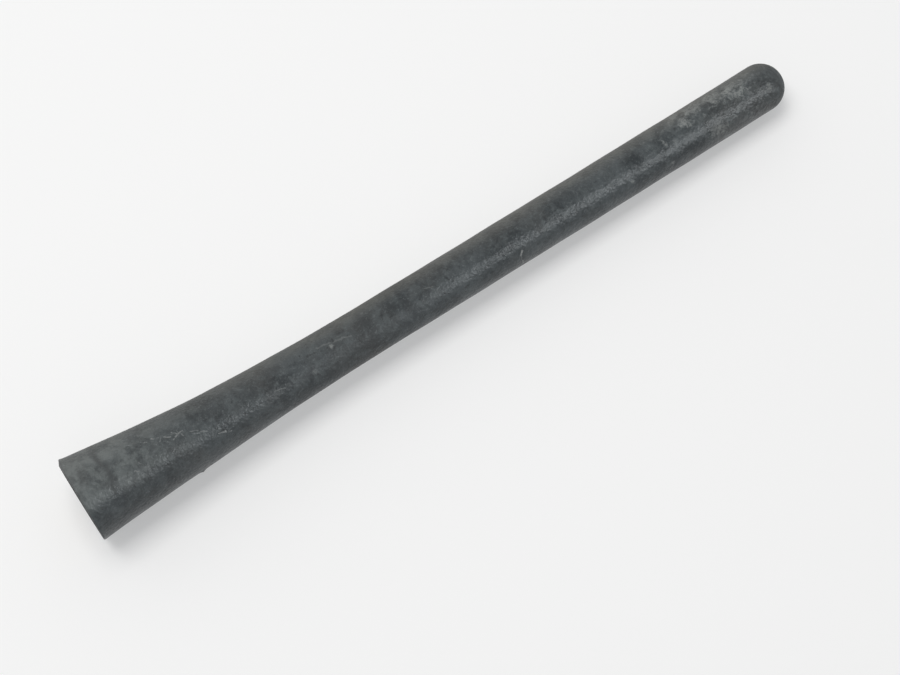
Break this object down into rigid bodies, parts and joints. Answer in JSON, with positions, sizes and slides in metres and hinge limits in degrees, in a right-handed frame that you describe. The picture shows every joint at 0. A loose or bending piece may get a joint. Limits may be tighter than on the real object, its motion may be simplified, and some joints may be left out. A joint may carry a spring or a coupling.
{
  "type": "motorcycle antenna",
  "caption": "Short flexible screw-on vehicle antenna: weathered black rubber mast with a flared foot and round tip over a threaded brass ferrule.",
  "frame": {"origin": "centre of the flat end that seats on the vehicle's antenna base", "axes": "+Z along the mast, from the flat end to the round tip; the mast is round, so X and Y are free"},
  "size_m": [0.021, 0.021, 0.2],
  "materials": {
    "rubber": "matt, weathered and dusty",
    "brass": "turned, dulled",
    "glass_fibre": "drawn rod",
    "copper": "enamelled wire"
  },
  "bodies": {
    "root": {"sheath": "rubber", "threaded_ferrule": "brass", "core_rod": "glass_fibre", "wire_winding": "copper"}
  },
  "joints": []
}
